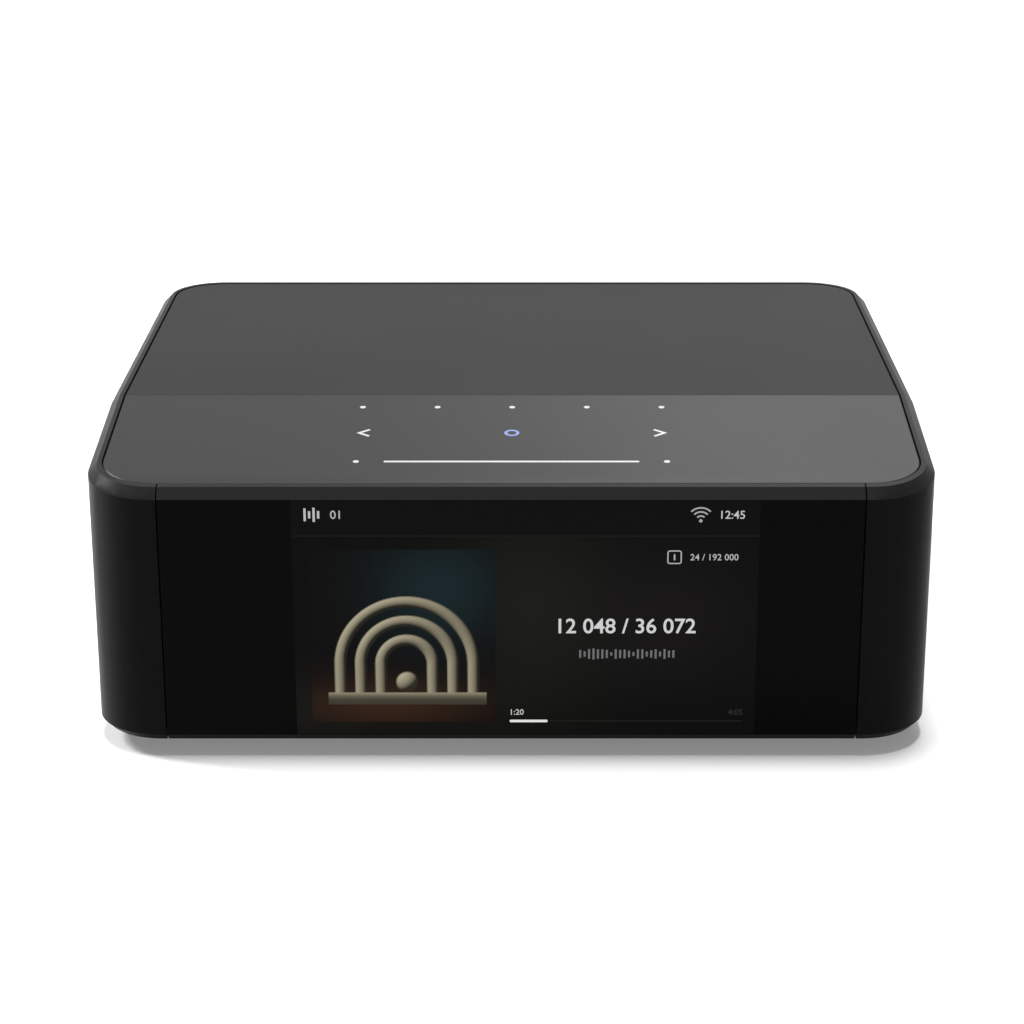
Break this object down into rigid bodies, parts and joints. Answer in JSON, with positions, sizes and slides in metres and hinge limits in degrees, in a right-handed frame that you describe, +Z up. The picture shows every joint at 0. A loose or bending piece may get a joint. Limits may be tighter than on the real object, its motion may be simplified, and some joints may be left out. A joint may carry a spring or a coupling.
{
  "type": "network music streamer",
  "caption": "Low desktop network music streamer: rounded box with a sloping touch glass on top, a display in its front window, rear sockets and a headphone jack in each side.",
  "frame": {"origin": "middle of the footprint, on the surface that the feet stand on", "axes": "+X to the right seen from the front, +Y to the rear, +Z up"},
  "size_m": [0.22, 0.188, 0.0811],
  "materials": {
    "painted_shell": "satin black powder paint on cast aluminium",
    "window_glass": "polished, black behind the display border",
    "etched_glass": "fine etched satin",
    "cover_plastic": "fine matt texture",
    "base_steel": "black powder paint on sheet steel",
    "rear_plate": "matt black paint",
    "foot_rubber": "moulded",
    "black_steel": "black zinc",
    "plated_steel": "zinc plated",
    "bright_steel": "bright sheet",
    "display_cell": "polarised film",
    "black_plastic": "moulded",
    "clear_plastic": "clear moulded",
    "ribbon_film": "polyimide film",
    "circuit_board": "solder mask",
    "sink_aluminium": "black anodised extrusion",
    "transformer_core": "ferrite and tape",
    "capacitor_sleeve": "shrink sleeve",
    "socket_shell": "bright nickel on steel",
    "shutter_plastic": "moulded",
    "nickel": "bright plated",
    "core_plastic": "moulded insulator"
  },
  "bodies": {
    "housing": {"analog_board": "circuit_board", "analog_standoffs": "plated_steel", "antennas": "circuit_board", "balanced_pins": "nickel", "balanced_socket_left": "black_plastic", "balanced_socket_right": "black_plastic", "base_plate": "base_steel", "base_screws": "black_steel", "board_header": "black_plastic", "board_link": "black_plastic", "board_screws": "plated_steel", "board_standoffs": "plated_steel", "bracket_screws": "black_steel", "converter_shield": "bright_steel", "display_backlight": "bright_steel", "display_bracket": "bright_steel", "display_panel": "display_cell", "display_ribbon": "ribbon_film", "ethernet_socket": "socket_shell", "feet": "foot_rubber", "frame_screws": "black_steel", "front_frame": "painted_shell", "front_glass": "window_glass", "hdmi_socket": "socket_shell", "headphone_boards": "circuit_board", "headphone_jack_left": "black_plastic", "headphone_jack_right": "black_plastic", "main_board": "circuit_board", "mains_inlet": "black_plastic", "mains_pins": "nickel", "minijacks": "black_plastic", "optical_in_socket": "black_plastic", "optical_out_socket": "black_plastic", "phono_barrels": "nickel", "phono_blocks": "black_plastic", "phono_cores": "core_plastic", "power_board": "circuit_board", "power_capacitors": "capacitor_sleeve", "power_heat_sink": "sink_aluminium", "power_transformer": "transformer_core", "processor": "black_plastic", "processor_heat_sink": "sink_aluminium", "rear_panel": "rear_plate", "rear_screws": "black_steel", "ridge_rail": "bright_steel", "setup_switch": "black_plastic", "side_shell": "painted_shell", "top_cover": "cover_plastic", "touch_carrier": "black_plastic", "touch_glass": "etched_glass", "touch_light_guide": "clear_plastic", "touch_ribbon": "ribbon_film", "touch_sensor_board": "circuit_board", "usb_a_socket": "socket_shell", "usb_c_socket": "socket_shell", "wireless_module": "bright_steel"},
    "optical_in_flap": {"optical_in_shutter": "shutter_plastic"},
    "optical_out_flap": {"optical_out_shutter": "shutter_plastic"},
    "setup_key": {"setup_button": "shutter_plastic"}
  },
  "joints": [
    {"name": "optical_in_shutter_hinge", "type": "hinge", "parent": "housing", "child": "optical_in_flap", "pos_m": [-0.004, 0.0807, 0.02315], "axis": [-1, 0, 0], "range_deg": [0, 80], "stiffness_Nm_per_rad": 0.001, "springref_deg": -11.46},
    {"name": "optical_out_shutter_hinge", "type": "hinge", "parent": "housing", "child": "optical_out_flap", "pos_m": [0.0105, 0.0807, 0.02315], "axis": [-1, 0, 0], "range_deg": [0, 80], "stiffness_Nm_per_rad": 0.001, "springref_deg": -11.46},
    {"name": "setup_button_travel", "type": "slide", "parent": "housing", "child": "setup_key", "axis": [0, -1, 0], "range_m": [0, 0.0008], "stiffness_N_per_m": 400, "springref_m": -0.0005}
  ]
}
